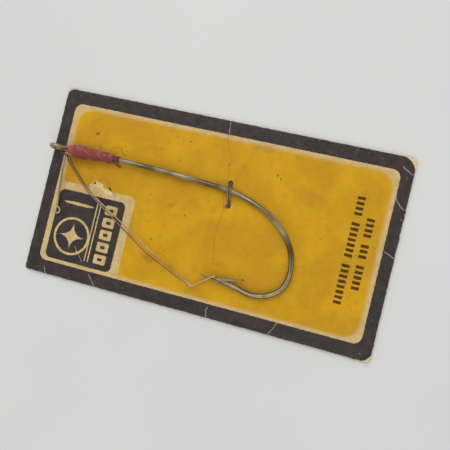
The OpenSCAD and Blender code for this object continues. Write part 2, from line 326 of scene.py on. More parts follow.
def border(s, colour, black):
    """The dark border, and the bare paper beyond its rounded corners."""
    inner = s.box(s.ink_x, s.ink_y, (-42.7, -21.45), (42.9, 21.4), 2.1)
    colour = s.mix(s.step(inner, -0.07, 0.07), colour, black)
    bare = s.mix(s.step(s.fine, 0.4, 0.65), rgb(222, 208, 164), rgb(190, 168, 120))
    for sx, sy, r in ((-1, 1, 2.4), (1, 1, 4.2), (1, -1, 3.0)):
        a = s.math("MAXIMUM", s.math("MULTIPLY_ADD", s.x, sx, r - CARD_L / 2), 0.0)
        b = s.math("MAXIMUM", s.math("MULTIPLY_ADD", s.y, sy, r - CARD_W / 2), 0.0)
        far = s.math("SQRT", s.plus(s.times(a, a), s.times(b, b)))
        far = s.plus(far, s.sway(s.fine, 0.7))
        colour = s.mix(s.step(far, r - 0.12, r + 0.08), colour, bare)
    return colour


def fuzzed_edges(s, colour):
    """Frayed paper along the card's edges, and nicks in the black."""
    rim = card_rim(s)
    frayed = s.plus(rim, s.sway(s.fine, 1.9))
    frayed = s.step(s.plus(frayed, s.sway(s.grain, 0.7)), -0.14, 0.04)
    colour = s.mix(s.times(frayed, 0.85), colour, rgb(176, 158, 124))
    nicks = s.times(s.step(s.noise(1.9, 2.0, 0.4), 0.735, 0.77), s.step(rim, -3.2, -0.6))
    return s.mix(nicks, colour, rgb(190, 168, 128))


def cracks_and_creases(s, colour):
    """Light cracks in the black and dark creases in the field. Also returns where they are."""
    cracks = s.either(*[s.step(s.line(s.torn_x, s.torn_y, a, b), 0.13, 0.03) for a, b in CRACKS])
    colour = s.mix(s.times(cracks, 0.62), colour, rgb(196, 188, 172))
    creases = s.either(*[s.step(s.line(s.torn_x, s.torn_y, a, b), 0.22, 0.0)
                         for a, b in CREASES])
    return s.mix(s.times(creases, 0.3), colour, rgb(150, 100, 26)), s.either(creases, cracks)


def stains_and_shadow(s, colour):
    """Dark dots, then soft patches of rust, dye and dirt, and a painted shadow under the whipping."""
    dots = [s.step(s.spot(s.torn_x, s.torn_y, c, r), 1.25, 0.75) for c, r in DOTS]
    colour = s.mix(s.times(s.either(*dots), 0.75), colour, rgb(104, 66, 32))
    for c, rx, ry, angle, share, tint in STAINS_AND_SHADOW:
        mask = s.step(s.spot(s.torn_x, s.torn_y, c, rx, ry, angle), 1.25, 0.35)
        mask = s.times(mask, s.step(s.plus(s.fine, s.mottle), 0.6, 1.1))
        colour = s.mix(s.times(mask, share), colour, rgb(*tint))
    return colour


def torn_spot(s, colour):
    """The tie holes' dark edges in pale halos, then bare fibre round the tears. Also returns where
    the fibre is."""
    rough_x = s.plus(s.x, s.sway(s.mottle, 2.6))
    rough_y = s.plus(s.y, s.sway(s.fine, 1.6))
    near_x = s.plus(s.x, s.sway(s.fine, 0.9))
    near_y = s.plus(s.y, s.sway(s.grain, 0.5))
    for hole, shift in ((TIE_HIGH, (-0.02, 0.1)), (TIE_LOW, (-0.1, -0.05))):
        at = (hole.x + shift[0], hole.y + shift[1])
        halo = s.step(s.spot(rough_x, near_y, at, 0.95), 1.3, 0.6)
        colour = s.mix(s.times(halo, 0.55), colour, rgb(214, 170, 96))
        hollow = s.step(s.spot(near_x, near_y, at, 0.62), 1.15, 0.85)
        colour = s.mix(s.times(hollow, 0.94), colour, rgb(40, 20, 10))
    torn = s.either(*[s.step(s.spot(rough_x, rough_y, c, rx, ry, -22), 1.12, 0.9)
                      for c, rx, ry in BARE_SPOTS])
    torn = s.times(torn, s.step(s.z, CARD_T - 0.2, CARD_T - 0.1))
    fibre = s.mix(s.step(s.fine, 0.35, 0.7), rgb(224, 202, 160), rgb(200, 166, 112))
    fibre = s.mix(s.times(s.step(s.mottle, 0.5, 0.7), 0.5), fibre, rgb(196, 138, 96))
    return s.mix(torn, colour, fibre), torn


def print_material():
    """Worn print on cream paper. Each step paints over the colour that it is given."""
    s = Shader("printed_paper", Specular_IOR_Level=0.16)
    wobble = s.add("TexNoise", {"Vector": s.at, "Scale": 1.6, "Detail": 3.0})
    shift = s.add("VectorMath", {0: wobble.outputs["Color"], 1: (-0.5, -0.5, -0.5)},
                  operation="ADD").outputs[0]
    shift = s.add("VectorMath", {0: shift, "Scale": 0.3}, operation="SCALE").outputs[0]
    inked = s.add("VectorMath", {0: s.at, 1: shift}, operation="ADD").outputs[0]
    s.ink_x, s.ink_y, _ = s.add("SeparateXYZ", {0: inked}).outputs
    s.broad, s.mottle = s.noise(0.09, 4.0), s.noise(0.55, 5.0, 0.65)
    s.fine, s.grain = s.noise(3.2, 4.0, 0.7), s.noise(14.0, 2.0)
    s.torn_x, s.torn_y = s.plus(s.x, s.sway(s.mottle, 1.3)), s.plus(s.y, s.sway(s.fine, 0.5))
    cream = s.mix(s.step(s.mottle, 0.35, 0.7), rgb(205, 179, 126), rgb(188, 160, 106))
    cream = s.mix(s.times(s.step(s.fine, 0.55, 0.75), 0.35), cream, rgb(168, 136, 88))
    black = s.mix(s.step(s.mottle, 0.3, 0.75), rgb(49, 45, 45), rgb(67, 60, 56))
    black = s.mix(s.times(s.step(s.fine, 0.6, 0.85), 0.3), black, rgb(90, 80, 72))

    colour = emblem(s, yellow_field(s, cream), cream, black)
    colour = border(s, tally_blocks(s, colour), black)
    colour, lines = cracks_and_creases(s, fuzzed_edges(s, colour))
    colour, torn = torn_spot(s, stains_and_shadow(s, colour))
    s.colour(colour)
    s.rough(s.plus(s.times(s.fine, 0.22), 0.42))
    height = s.plus(s.times(s.grain, 0.25), s.times(s.mottle, 0.8))
    height = s.less(height, s.times(lines, 0.9))
    height = s.plus(height, s.times(torn, s.times(s.fine, 1.6)))
    s.bump(height, 0.55, 0.09)
    return s.material


def board_material():
    s = Shader("pulp_board", Specular_IOR_Level=0.2)
    fibre = s.noise(2.2, 5.0, 0.7, s.stretched(0.45, 1.0, 3.0))
    patch, grain = s.noise(0.16, 4.0), s.noise(9.0, 3.0, 0.7)
    colour = s.mix(s.step(patch, 0.3, 0.7), rgb(176, 160, 132), rgb(162, 145, 117))
    colour = s.mix(s.times(s.step(fibre, 0.5, 0.7), 0.45), colour, rgb(190, 176, 148))
    flecks = s.step(s.noise(3.1, 2.0, 0.5, s.stretched(1.0, 0.4, 1.0)), 0.68, 0.72)
    colour = s.mix(s.times(flecks, 0.7), colour, rgb(96, 80, 62))
    rim = card_rim(s)
    colour = s.mix(s.times(s.step(rim, -1.6, 0.0), 0.35), colour, rgb(120, 102, 78))
    # Painted shade: the board is made dark at the bottom of the tears through the paper
    under = s.either(*[s.step(s.spot(s.x, s.y, c, 0.9), 1.2, 0.8) for c, *_ in TEARS])
    under = s.times(under, s.step(s.z, BOARD_T - 0.1, BOARD_T - 0.05))
    colour = s.mix(under, colour, rgb(52, 38, 22))
    rust = s.step(s.spot(s.x, s.y, (3.6, 6.6), 4.2, 1.9, 98), 1.3, 0.3)
    colour = s.mix(s.times(rust, s.times(grain, 0.7)), colour, rgb(126, 78, 44))
    s.colour(colour)
    s.rough(s.plus(s.times(grain, 0.15), 0.78))
    s.bump(s.plus(s.times(fibre, 0.7), s.times(grain, 0.5)), 0.7, 0.1)
    return s.material


# ---------------------------------------------------------------- wires and thread
def wire_material(name, light, dark, rust, roughness, metallic, rusty=0.3, darker=0.0):
    """Tarnished wire: drawn streaks along its length, strong enough to stand as painted reflection
    bands, dark patches and rust. Where darker is given, the wire is browner up to that length, and
    dark at both ends as painted shade where it comes out under the eye and the whipping, partly rust."""
    s = Shader(name, Metallic=metallic, Specular_IOR_Level=0.5)
    run = s.add("UVMap", uv_map="along").outputs[0]
    # Light and dark bands along the wire: drawing streaks, and also painted reflection bands
    streak_and_sheen = s.noise(1.0, 2.0, 0.45, s.stretched(0.11, 5.0, 1.0, run))
    patch = s.noise(0.35, 4.0, 0.65)
    grain = s.noise(7.0, 3.0, 0.6)
    colour = s.mix(s.step(streak_and_sheen, 0.4, 0.6), light, dark)
    colour = s.mix(s.times(s.step(patch, 0.52, 0.68), 0.6), colour, dark)
    stain = s.times(s.step(s.noise(0.8, 4.0, 0.7), 0.54, 0.66), rusty)
    colour = s.mix(stain, colour, rust)
    if darker:
        length = s.add("SeparateXYZ", {0: run}).outputs[0]
        colour = s.mix(s.times(s.step(length, darker + 2.0, darker - 6.0), 0.7), colour, rust)
        # Painted shade, partly rust: dark at both ends, where the guard wire runs out from the whipping
        # under the eye
        from_middle = s.math("ABSOLUTE", s.less(length, darker + 3.5))
        colour = s.mix(s.times(s.step(from_middle, 44.0, 51.0), 0.85), colour, rgb(58, 46, 26))
    s.colour(colour)
    rough = s.plus(s.times(grain, 0.22), roughness - 0.11)
    s.rough(s.plus(rough, s.times(stain, 0.3)))
    s.bump(s.plus(s.times(streak_and_sheen, 0.6), s.times(grain, 0.5)), 0.35, 0.03)
    return s.material


def thread_material(name, tones):
    """Wound thread. tones are its colours from the eye end on, then a pale one for the top, part real
    fading and part painted highlight, and a deep one painted as shade into the grooves and on the
    underside."""
    s = Shader(name, Specular_IOR_Level=0.25, Sheen_Weight=0.25, Sheen_Roughness=0.5)
    run = s.add("UVMap", uv_map="along").outputs[0]
    along, groove, _ = s.add("SeparateXYZ", {0: run}).outputs
    near, middle, far, faded_and_lit, deep = tones
    wander = s.plus(along, s.sway(s.noise(1.1, 3.0), 2.0))
    colour = s.mix(s.step(wander, 4.2, 5.8), near, middle)
    colour = s.mix(s.step(wander, 9.5, 12.5), colour, far)
    normal = s.add("NewGeometry").outputs["Normal"]
    _, ny, nz = s.add("SeparateXYZ", {0: normal}).outputs
    up = s.plus(s.times(ny, 0.5), s.times(nz, 0.75))
    # Painted highlight, partly real fading: the pale tone in patches on faces turned up towards the key
    # lamp
    patchy = s.times(s.step(up, 0.35, 0.95), s.step(s.noise(1.6, 4.0, 0.65), 0.42, 0.66))
    colour = s.mix(s.times(patchy, 0.75), colour, faded_and_lit)
    # Painted shade on the faces turned down, away from the key lamp
    colour = s.mix(s.times(s.step(up, 0.25, -0.5), 0.6), colour, deep)
    fuzz = s.noise(5.0, 4.0, 0.7, s.stretched(3.0, 1.0, 1.0))
    colour = s.mix(s.times(s.step(fuzz, 0.52, 0.7), 0.35), colour, deep)
    # Painted shade in the grooves between turns of thread
    colour = s.mix(s.times(s.step(groove, 0.2, 0.9), 0.75), colour, deep)
    s.colour(colour)
    s.rough(s.plus(s.times(fuzz, 0.25), 0.55))
    s.bump(fuzz, 0.5, 0.05)
    return s.material


def floor_material():
    s = Shader("floor", Specular_IOR_Level=0.25)
    s.colour(s.mix(s.step(s.noise(0.01, 3.0), 0.35, 0.65), rgb(214, 215, 216), rgb(210, 211, 212)))
    s.rough(s.plus(s.times(s.noise(0.4), 0.1), 0.6))
    return s.material


# ---------------------------------------------------------------- mesh helpers
def make(name, points, faces, material, body=None, sharp=40, runs=None):
    """A mesh object from points in millimetres. runs gives each point's place for the wire map."""
    mesh = bpy.data.meshes.new(name)
    mesh.from_pydata([tuple(Vector(p) * MM) for p in points], [], faces)
    mesh.validate()
    if runs:
        uv = mesh.uv_layers.new(name="along")
        for loop in mesh.loops:
            uv.data[loop.index].uv = runs[loop.vertex_index]
    for polygon in mesh.polygons:
        polygon.use_smooth = True
    mesh.set_sharp_from_angle(angle=math.radians(sharp))
    mesh.materials.append(material)
    thing = bpy.data.objects.new(name, mesh)
    bpy.context.scene.collection.objects.link(thing)
    if body:
        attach(thing, body)
    return thing


def along(legs, sizes, turn=4.0, reach=0.7):
    """Frames along a bent wire from the origin along +X: place, heading, side and radius. A leg
    is (length,) or (radius, angle, roll), and positive angles bend to the right."""
    place, heading, axis, side = Vector((0, 0, 0)), Vector((1, 0, 0)), Vector((0, 0, 1)), \
        Vector((0, 1, 0))
    frames = [(place, heading, side, sizes[0] / 2)]
    for i, leg in enumerate(legs):
        if len(leg) == 3:
            axis = Matrix.Rotation(math.radians(leg[2]), 3, heading) @ axis
        n = max(1, math.ceil(leg[0] / reach)) if len(leg) == 1 else \
            max(2, math.ceil(abs(leg[1]) / turn), math.ceil(
                leg[0] * math.radians(abs(leg[1])) / 1.2))
        for k in range(1, n + 1):
            radius = (sizes[i] + (sizes[i + 1] - sizes[i]) * k / n) / 2
            if len(leg) == 1:
                frames.append((place + heading * leg[0] * k / n, heading, side, radius))
                continue
            middle = place + math.copysign(leg[0], leg[1]) * heading.cross(axis)
            spin = Matrix.Rotation(math.radians(-leg[1] * k / n), 3, axis)
            frames.append((middle + spin @ (place - middle), spin @ heading, spin @ side, radius))
        place, heading, side, _ = frames[-1]
    return frames


def moved(frames, matrix):
    turn = matrix.to_3x3()
    return [(matrix @ p, (turn @ h).normalized(), (turn @ s).normalized(), r)
            for p, h, s, r in frames]


def tube(frames, sides):
    """Points, faces and runs of the tube round a list of frames, with domed ends."""
    rings = list(frames)
    for end, sign in ((0, -1), (-1, 1)):
        p, h, side, r = frames[end]
        for share in (0.5, 0.85):
            ring = (p + h * sign * r * share * 0.6, h, side, r * math.sqrt(1 - share ** 2))
            rings = [ring] + rings if sign < 0 else rings + [ring]
    points, runs, length = [], [], 0.0
    for i, (p, h, s, r) in enumerate(rings):
        if i:
            length += (p - rings[i - 1][0]).length
        for j in range(sides):
            angle = 2 * math.pi * j / sides
            points.append(p + r * (Matrix.Rotation(angle, 3, h) @ s))
            runs.append((length, abs(2 * j / sides - 1)))
    faces = [[j for j in range(sides)][::-1]]
    for i in range(len(rings) - 1):
        for j in range(sides):
            a, b = i * sides + j, i * sides + (j + 1) % sides
            faces.append([a, b, b + sides, a + sides])
    last = (len(rings) - 1) * sides
    faces.append([last + j for j in range(sides)])
    return points, faces, runs


def curve(points, radius, steps=8):
    """Frames along a smooth curve through points."""
    ends = [points[0] * 2 - points[1]] + points + [points[-1] * 2 - points[-2]]
    path = []
    for a, b, c, d in zip(ends, ends[1:], ends[2:], ends[3:]):
        for k in range(steps):
            t = k / steps
            path.append(0.5 * ((2 * b) + (c - a) * t + (2 * a - 5 * b + 4 * c - d) * t ** 2
                               + (3 * b - a - 3 * c + d) * t ** 3))
    path.append(points[-1])
    frames, side = [], None
    for i, p in enumerate(path):
        heading = (path[min(i + 1, len(path) - 1)] - path[max(i - 1, 0)]).normalized()
        side = side or heading.orthogonal()
        side = (side - heading * side.dot(heading)).normalized()
        frames.append((p, heading, side, radius))
    return frames


def cut(thing, cutter, operation="DIFFERENCE"):
    """Cuts one mesh with another, or joins them, and drops the cutter."""
    change = thing.modifiers.new("cut", "BOOLEAN")
    change.operation, change.solver, change.object = operation, "EXACT", cutter
    bpy.context.view_layer.update()
    made = bpy.data.meshes.new_from_object(
        thing.evaluated_get(bpy.context.evaluated_depsgraph_get()))
    thing.modifiers.clear()
    old, thing.data = thing.data, made
    bpy.data.meshes.remove(old)
    bpy.data.objects.remove(cutter)


def prism(name, outline, low, high, material):
    n = len(outline)
    points = [(p[0], p[1], low) for p in outline] + [(p[0], p[1], high) for p in outline]
    faces = [list(range(n))[::-1], list(range(n, 2 * n))]
    faces += [[i, (i + 1) % n, n + (i + 1) % n, n + i] for i in range(n)]
    return make(name, points, faces, material)


def circle(centre, r, n=40):
    return [(centre[0] + r * math.cos(2 * math.pi * k / n),
             centre[1] + r * math.sin(2 * math.pi * k / n)) for k in range(n)]


# ---------------------------------------------------------------- the card
def frayed_edge(x, y, depth):
    """Moves a point of the card's outline in by the wear there."""
    wear = noise.fractal(Vector((x * 0.9, y * 0.9, 3.1)), 1.0, 2.0, 4) * 0.5 + 0.5
    fine = noise.noise(Vector((x * 4.0, y * 4.0, 7.7))) * 0.5 + 0.5
    bite = depth * (0.9 * max(0.0, wear - 0.15) + 0.5 * fine * wear * 2)
    notch = math.exp(-((y - 14.6) / 1.0) ** 2) if x < -44 else 0
    notch += 0.6 * math.exp(-((y + 7.2) / 0.5) ** 2) if x > 44 else 0
    bite += 0.5 * notch
    inward = Vector((-x if abs(x) > CARD_L / 2 - 1.2 else 0, -y if abs(y) > CARD_W / 2 - 1.2
                     else 0))
    inward = Vector((math.copysign(1, inward.x) if inward.x else 0,
                     math.copysign(1, inward.y) if inward.y else 0)).normalized()
    return x + inward.x * bite, y + inward.y * bite


def card_outline():
    """Points round the card, closely spaced for its worn edge."""
    step = 0.22
    hx, hy, r = CARD_L / 2, CARD_W / 2, CORNER_R
    path = []
    for cx, cy, start in ((hx - r, hy - r, 0), (-hx + r, hy - r, 90), (-hx + r, -hy + r, 180),
                          (hx - r, -hy + r, 270)):
        for k in range(7):
            a = math.radians(start + 15 * k)
            path.append(Vector((cx + r * math.cos(a), cy + r * math.sin(a))))
    outline = []
    for a, b in zip(path, path[1:] + path[:1]):
        n = max(1, int((b - a).length / step))
        outline += [a.lerp(b, k / n) for k in range(n)]
    return outline


def build_board(material):
    outline = card_outline()
    levels = [0.0, 0.05, 0.16, 0.28, 0.4, 0.52, 0.62, BOARD_T]
    points = []
    for k, z in enumerate(levels):
        rounding = 0.10 if k in (0, len(levels) - 1) else 0.02
        for p in outline:
            fray = 0.05 * (noise.noise(Vector((p.x * 2.5, p.y * 2.5, z * 9))) + 1)
            x, y = frayed_edge(p.x, p.y, 0.2 + rounding + fray)
            points.append((x, y, z))
    n = len(outline)
    faces = [list(range(n))[::-1]]
    for k in range(len(levels) - 1):
        faces += [[k * n + i, k * n + (i + 1) % n, (k + 1) * n + (i + 1) % n, (k + 1) * n + i]
                  for i in range(n)]
    faces.append([(len(levels) - 1) * n + i for i in range(n)])
    board = make("board", points, faces, material)
    across = (TIE_HIGH - TIE_LOW).normalized()
    side = Vector((-across.y, across.x, 0)) * 0.5
    groove = [TIE_LOW - side, TIE_HIGH - side, TIE_HIGH + side, TIE_LOW + side]
    cut(board, prism("groove", [(p.x, p.y) for p in groove], -1, GROOVE_DEPTH, material))
    for hole in (TIE_LOW, TIE_HIGH):
        cut(board, prism("hole", circle(hole, TIE_HOLE_R), -1, 2, material))
    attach(board, "carded_hook")
    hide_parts("card_board")


def paper_relief(x, y):
    """Height of the paper's face over a flat one: slight waves, creases, dips round the tie holes and a
    slight drop along the edges.
    """
    low = -0.02 * (noise.fractal(Vector((x * 0.06, y * 0.06, 1.0)), 1.0, 2.0, 3) + 1)
    for (ax, ay), (bx, by) in (((-0.45, 24.7), (1.75, 15.2)), ((1.75, 15.2), (2.97, 1.1)),
                               ((2.97, 1.1), (3.8, -12.0))):
        a, d = Vector((ax, ay)), Vector((bx - ax, by - ay))
        t = min(1, max(0, (Vector((x, y)) - a).dot(d) / d.length_squared))
        low -= 0.035 * math.exp(-((Vector((x, y)) - a - d * t).length / 0.35) ** 2)
    for hole in (TIE_LOW, TIE_HIGH):
        low -= 0.05 * math.exp(-((Vector((x, y)) - hole.xy).length - 0.5) ** 2 / 0.3)
    rim = min(CARD_L / 2 - abs(x), CARD_W / 2 - abs(y))
    return low - 0.035 * math.exp(-rim / 0.35)


def build_paper(material):
    """A thin sheet with waves in its face, a frayed outline and a torn spot."""
    hx, hy, r = CARD_L / 2, CARD_W / 2, CORNER_R
    nx, ny = 190, 104
    def lines(n, half):
        inner = [(-half + 0.45) + (2 * half - 0.9) * k / (n - 4) for k in range(n - 3)]
        return [-half, -half + 0.16] + inner + [half - 0.16, half]
    xs, ys = lines(nx, hx), lines(ny, hy)
    points, faces = [], []
    for level in (1, 0):
        for j, y in enumerate(ys):
            for i, x in enumerate(xs):
                px, py = x, y
                a, b = abs(x) - (hx - r), abs(y) - (hy - r)
                if a > 0 and b > 0 and math.hypot(a, b) > max(a, b):
                    scale = max(a, b) / math.hypot(a, b)
                    px = math.copysign(hx - r + a * scale, x)
                    py = math.copysign(hy - r + b * scale, y)
                if i in (0, len(xs) - 1) or j in (0, len(ys) - 1):
                    px, py = frayed_edge(px, py, 0.26)
                z = CARD_T + paper_relief(px, py) if level else BOARD_T - 0.01
                points.append((px, py, z))
    wide, tall = len(xs), len(ys)
    under = wide * tall
    for j in range(tall - 1):
        for i in range(wide - 1):
            a = j * wide + i
            faces.append([a, a + 1, a + wide + 1, a + wide])
            faces.append([under + a + wide, under + a + wide + 1, under + a + 1, under + a])
    rim = list(range(wide)) + [j * wide + wide - 1 for j in range(1, tall)] \
        + [(tall - 1) * wide + i for i in range(wide - 2, -1, -1)] \
        + [j * wide for j in range(tall - 2, 0, -1)]
    for a, b in zip(rim, rim[1:] + rim[:1]):
        faces.append([b, a, under + a, under + b])
    paper = make("printed_paper", points, faces, material, sharp=50)
    for hole in (TIE_LOW, TIE_HIGH):
        ragged = [(x + 0.05 * noise.noise(Vector((x * 5, y * 5, 0))),
                   y + 0.05 * noise.noise(Vector((x * 5, y * 5, 9)))) for x, y in
                  circle(hole, TIE_HOLE_R, 28)]
        cut(paper, prism("hole", ragged, -1, 2, material))
    for centre, rx, ry, turn in TEARS:
        spot = []
        for x, y in circle((0, 0), 1.0, 30):
            k = 1 + 0.45 * noise.noise(Vector((x * 2 + centre[0], y * 2, 4)))
            u, v = x * rx * k, y * ry * k
            c, s = math.cos(math.radians(turn)), math.sin(math.radians(turn))
            spot.append((centre[0] + c * u - s * v, centre[1] + s * u + c * v))
        cut(paper, prism("tear", spot, -1, 2, material))
    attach(paper, "carded_hook")
    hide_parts("card_paper")


def build_flakes(material):
    """Curled scraps of paper round the torn spot."""
    for k, (x, y, turn, size) in enumerate(((-32.9, 1.0, 200, 1.0), (-31.2, 1.75, 80, 0.9),
                                            (-28.7, 1.35, 60, 1.1), (-26.9, 0.2, -30, 1.0),
                                            (-29.8, -0.25, 260, 0.9), (-33.0, 2.0, 120, 0.7))):
        rows, points = 7, []
        for side in (0, 1):
            for i in range(rows):
                t = i / (rows - 1)
                for j in range(5):
                    w = (j / 4 - 0.5) * (1.0 - 0.75 * t) * size
                    w += 0.08 * noise.noise(Vector((i * 0.9 + k * 5, j * 1.3, side)))
                    u = t * size * 1.1
                    z = 0.02 + 0.42 * size * t ** 1.8 + 0.05 * math.cos(w * 5) - side * 0.045
                    c, s = math.cos(math.radians(turn)), math.sin(math.radians(turn))
                    points.append((x + c * u - s * w, y + s * u + c * w, CARD_T + z - 0.03))
        faces, m = [], rows * 5
        for i in range(rows - 1):
            for j in range(4):
                a = i * 5 + j
                faces += [[a, a + 5, a + 6, a + 1], [m + a, m + a + 1, m + a + 6, m + a + 5]]
        rim = list(range(5)) + [i * 5 + 4 for i in range(1, rows)] \
            + [(rows - 1) * 5 + j for j in (3, 2, 1, 0)] + [i * 5 for i in range(rows - 2, 0, -1)]
        for a, b in zip(rim, rim[1:] + rim[:1]):
            faces.append([a, b, m + b, m + a])
        make(f"paper_flake_{k}", points, faces, material, "carded_hook")


# ---------------------------------------------------------------- the hook and its wires
def hook_frames():
    eye_turn = Matrix.Rotation(math.radians(EYE_PLANE), 4, "X")
    start = Matrix.Translation((EYE_R * math.cos(math.radians(EYE_OPEN)),
                                EYE_R * math.sin(math.radians(EYE_OPEN)), 0))
    heading = Matrix.Rotation(math.radians(EYE_OPEN + 90), 4, "Z")
    return moved(along(HOOK_LEGS, HOOK_D), HOOK_SPACE @ eye_turn @ start @ heading)


def build_hook(material):
    frames = hook_frames()
    points, faces, runs = tube(frames, 28)
    hook = make("hook_wire", points, faces, material, runs=runs)
    place, heading, side, _ = frames[-1]
    up = heading.cross(side)
    flat = up if abs(up.z) < 0.5 else side
    flat = flat if flat.dot(HOOK_SPACE.to_3x3() @ Vector((0, 1, 0))) > 0 else -flat
    across = heading.cross(flat)
    outline = [(-2.0, -0.05), (-4.6, -0.55), (-7.4, -1.1), (-10.9, -1.9), (-10.75, -1.7),
               (-8.9, -1.05), (-7.0, -0.45), (-4.0, 0.1)]
    barb = []
    for half in (-1, 1):
        for u, v in outline:
            thick = 0.34 if v > -1.0 else 0.16
            barb.append(place + heading * u - flat * v + across * half * thick)
    n = len(outline)
    sides = [list(range(n))[::-1], list(range(n, 2 * n))]
    sides += [[i, (i + 1) % n, n + (i + 1) % n, n + i] for i in range(n)]
    tool = make("barb", barb, sides, material)
    bm = bmesh.new()
    bm.from_mesh(tool.data)
    bmesh.ops.recalc_face_normals(bm, faces=bm.faces)
    bm.to_mesh(tool.data)
    bm.free()
    cut(hook, tool, "UNION")
    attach(hook, "carded_hook")
    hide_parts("hook")


def back_along(legs, roll):
    """The same legs from their far end back. The first bend's plane rolls as it is told."""
    out = [(leg[0], -leg[1]) if len(leg) > 1 else leg for leg in legs[::-1]]
    first = next(i for i, leg in enumerate(out) if len(leg) > 1)
    out[first] += (roll,)
    return out


def strand_legs(way):
    """One strand of the guard's arm: straight sides with rounded corners, the third corner moved
    sideways, one way for each strand."""
    turn = math.radians(GUARD_TURNS[2])
    corner = Vector((GUARD_SIDES[1], 0)) + way * STRAND_BOW * Vector(
        (-math.sin(turn / 2), math.cos(turn / 2)))
    kink = Vector((GUARD_SIDES[1], 0)) + GUARD_SIDES[2] * Vector((math.cos(turn), math.sin(turn)))
    near = math.degrees(math.atan2(corner.y, corner.x))
    far = math.degrees(math.atan2(kink.y - corner.y, kink.x - corner.x))
    sides = (GUARD_SIDES[0], corner.length, (kink - corner).length)
    turns = (GUARD_TURNS[0], GUARD_TURNS[1] + near, far - near,
             GUARD_TURNS[3] + GUARD_TURNS[2] - far)
    trims = [r * math.tan(math.radians(t / 2)) for r, t in zip(GUARD_BEND_R, turns)]
    legs = [(GUARD_BEND_R[0], -turns[0])]
    for i in range(3):
        legs += [(sides[i] - trims[i] - trims[i + 1],), (GUARD_BEND_R[i + 1], -turns[i + 1])]
    return legs + GUARD_TIP


def build_guard(material):
    """One wire: out of the whipping, along the upper strand, round and back along the lower."""
    turn = [(0.4, 90, 90), (2 * (STRAND - 0.4),), (0.4, 90)]
    legs = ROOT_LEGS + [(0.08,)] + strand_legs(-1) + turn \
        + back_along(ROOT_LEGS + [(0.08,)] + strand_legs(1), 90)
    start = Matrix.Translation((6.0, 0, STRAND)) @ Matrix.Rotation(math.pi, 4, "Z")
    frames = moved(along(legs, [GUARD_D] * (len(legs) + 1)), HOOK_SPACE @ start)
    points, faces, runs = tube(frames, 14)
    guard = make("guard_wire", points, faces, material, runs=runs)
    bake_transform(guard)
    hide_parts("guard_root", "guard_arm")


def build_keeper(material):
    root = along([(5.0,), (0.45, -90), (0.45,)], [KEEPER_D] * 4)
    start = Matrix.Translation((8.0, -0.975, 0)) @ Matrix.Rotation(math.pi, 4, "Z")
    arm = along([(0.1,), (13.0,), (0.6, -62), (0.3,), (0.8, 155), (0.5,)], [KEEPER_D] * 6
                + [KEEPER_D * 0.9])
    slope = Matrix.Translation(KEEPER_HINGE) @ Matrix.Rotation(math.radians(7), 4, "X") \
        @ Matrix.Rotation(math.radians(-88.5), 4, "Z")
    frames = moved(root, HOOK_SPACE @ start) + moved(arm, HOOK_SPACE @ slope)[1:]
    points, faces, runs = tube(frames, 16)
    keeper = make("keeper_wire", points, faces, material, runs=runs)
    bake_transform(keeper)
    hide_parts("keeper_root", "keeper_arm")


def profile_radius(profile, s):
    for (a, ra), (b, rb) in zip(profile, profile[1:]):
        if s <= b:
            t = (s - a) / (b - a)
            return ra + (rb - ra) * t * t * (3 - 2 * t)
    return profile[-1][1]


def whipping(name, profile, pitch, ridge, lumps, material, node):
    """Thread wound round the shank: a skin of turns, ridge by ridge, that closes at both ends."""
    sides, per_turn = 56, 8
    first, last = profile[0][0], profile[-1][0]
    rows = int((last - first) / pitch * per_turn)
    points, runs, faces = [], [], []
    for i in range(rows + 1):
        s = first + (last - first) * i / rows
        for j in range(sides):
            angle = 2 * math.pi * j / sides
            wander = 0.35 * noise.noise(Vector((s * 0.7, math.cos(angle), math.sin(angle))))
            turn = (s + wander * pitch * 2) / pitch - angle / (2 * math.pi)
            bulge = lumps * noise.noise(Vector((s * 0.8, 1.5 * math.cos(angle),
                                                1.5 * math.sin(angle) + 5)))
            r = profile_radius(profile, s) + bulge - ridge * (1 - abs(math.sin(math.pi * turn)) ** 0.6)
            points.append(HOOK_SPACE @ Vector((s, r * math.cos(angle), r * math.sin(angle))))
            # The map's second value is the depth of the groove between turns, which the thread material
            # paints as shade; the closing caps take 0.8 of it
            runs.append((s, 1 - abs(math.sin(math.pi * turn)) ** 0.6))
    for i in range(rows):
        for j in range(sides):
            a, b = i * sides + j, i * sides + (j + 1) % sides
            faces.append([a, b, b + sides, a + sides])
    for end, s in ((0, first), (rows, last)):
        ring = [end * sides + j for j in range(sides)]
        inner = len(points)
        for j in range(sides):
            angle = 2 * math.pi * j / sides
            points.append(HOOK_SPACE @ Vector((s, 0.6 * math.cos(angle), 0.6 * math.sin(angle))))
            runs.append((s, 0.8))
        for j in range(sides):
            k = (j + 1) % sides
            quad = [ring[j], inner + j, inner + k, ring[k]]
            faces.append(quad if end == 0 else quad[::-1])
        cap = [inner + j for j in range(sides)]
        faces.append(cap[::-1] if end == 0 else cap)
    thread = make(name, points, faces, material, "carded_hook", sharp=80, runs=runs)
    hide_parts(node)


